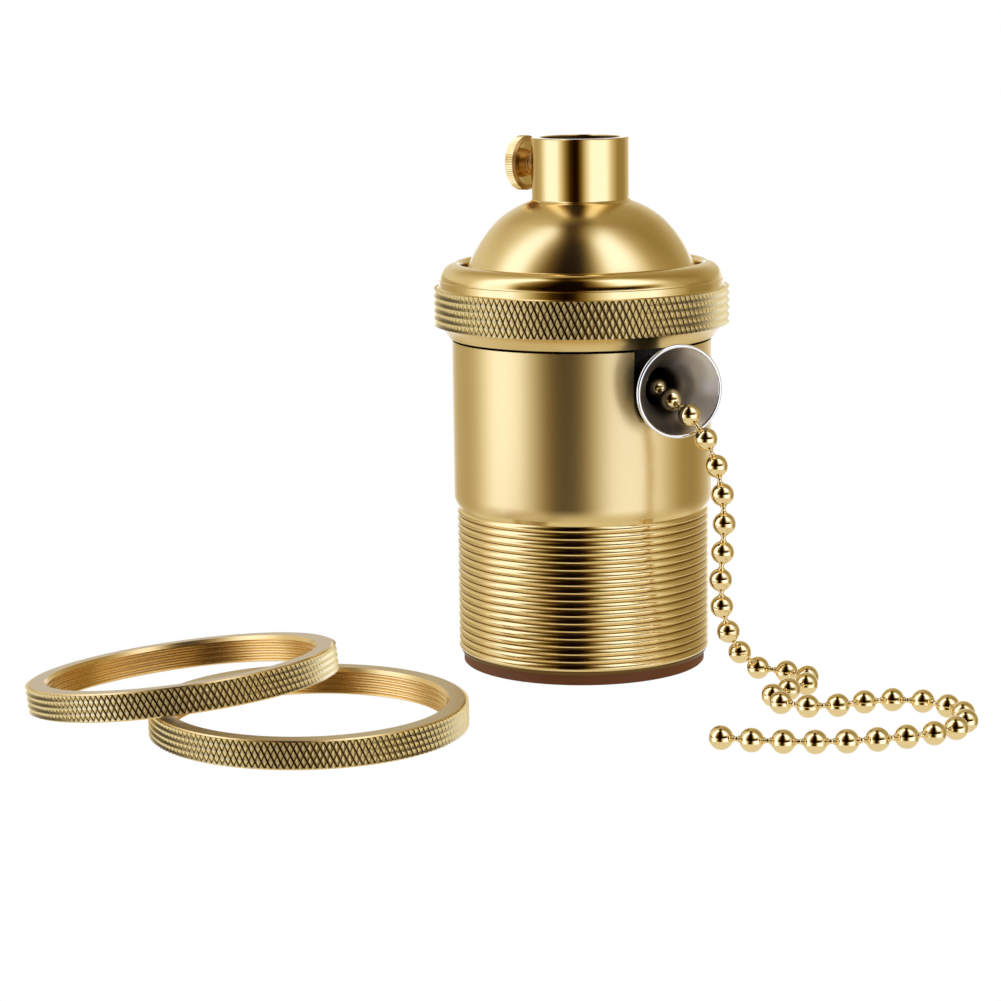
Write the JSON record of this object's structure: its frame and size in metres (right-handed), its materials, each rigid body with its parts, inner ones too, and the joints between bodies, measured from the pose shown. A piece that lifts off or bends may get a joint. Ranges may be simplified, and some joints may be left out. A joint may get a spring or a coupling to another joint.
{
  "type": "lamp holder",
  "caption": "Gold pull-chain lamp holder: domed cap with tapped neck, knurled collar, threaded shell, bell mouth with ball chain, and two knurled shade rings laid beside it.",
  "frame": {"origin": "centre of the mouth where the lamp goes in, in the plane that the holder stands on", "axes": "+Z along the holder's axis from the mouth up to the neck; +X the way the bell mouth faces and the chain is pulled"},
  "size_m": [0.0917, 0.1189, 0.0795],
  "materials": {
    "gold_metal": "satin, gold coloured",
    "contact_brass": "plain brass",
    "chrome_plate": "polished chrome plate",
    "plated_steel": "zinc plated",
    "brown_moulding": "dark brown moulded phenolic",
    "fibre_board": "reddish-brown insulating fibre"
  },
  "bodies": {
    "holder": {"shell": "gold_metal", "insulating_liner": "fibre_board", "cap": "gold_metal", "screw_shell": "contact_brass", "socket_base": "brown_moulding", "centre_contact": "contact_brass", "contact_rivet": "contact_brass", "switch_housing": "brown_moulding", "switch_cover": "brown_moulding", "housing_screws": "plated_steel", "live_terminal": "contact_brass", "neutral_terminal": "contact_brass", "terminal_screws": "plated_steel", "contact_spring_live": "contact_brass", "contact_spring_lamp": "contact_brass", "detent_spring": "plated_steel", "return_spring": "plated_steel", "bell_mouth": "chrome_plate", "bell_nut": "chrome_plate", "shade_ring_flat": "gold_metal", "shade_ring_leaning": "gold_metal"},
    "collar": {"collar": "gold_metal"},
    "clamp_screw": {"neck_clamp_screw": "gold_metal"},
    "chain": {"pull_chain_beads": "gold_metal", "pull_chain_links": "gold_metal"},
    "lever": {"pull_lever": "plated_steel", "drive_pawl": "plated_steel"},
    "rotor": {"switch_rotor": "brown_moulding", "rotor_contact": "contact_brass", "ratchet_wheel": "plated_steel", "rotor_spindle": "plated_steel"}
  },
  "joints": [
    {"name": "collar_turn", "type": "hinge", "parent": "holder", "child": "collar", "pos_m": [0, 0, 0.055], "axis": [0, 0, 1], "range_deg": [-90, 90]},
    {"name": "clamp_screw_turn", "type": "hinge", "parent": "holder", "child": "clamp_screw", "pos_m": [-0.00813, -0.0043, 0.0754], "axis": [-0.8838, -0.4679, 0], "range_deg": [-180, 180]},
    {"name": "lever_swing", "type": "hinge", "parent": "holder", "child": "lever", "pos_m": [0.0019, -0.0051, 0.04], "axis": [0, 0, -1], "range_deg": [0, 60], "deforming": ["return_spring"]},
    {"name": "chain_pull", "type": "slide", "parent": "holder", "child": "chain", "axis": [1, 0, 0], "range_m": [0, 0.009], "stiffness_N_per_m": 640},
    {"name": "rotor_step", "type": "hinge", "parent": "holder", "child": "rotor", "pos_m": [0.0019, -0.0051, 0.035], "axis": [0, 0, -1], "range_deg": [0, 60]}
  ],
  "couplings": [
    {"joint": "lever_swing", "follows": "chain_pull", "rad_per_m": 116.36},
    {"joint": "rotor_step", "follows": "chain_pull", "rad_per_m": 116.36}
  ]
}
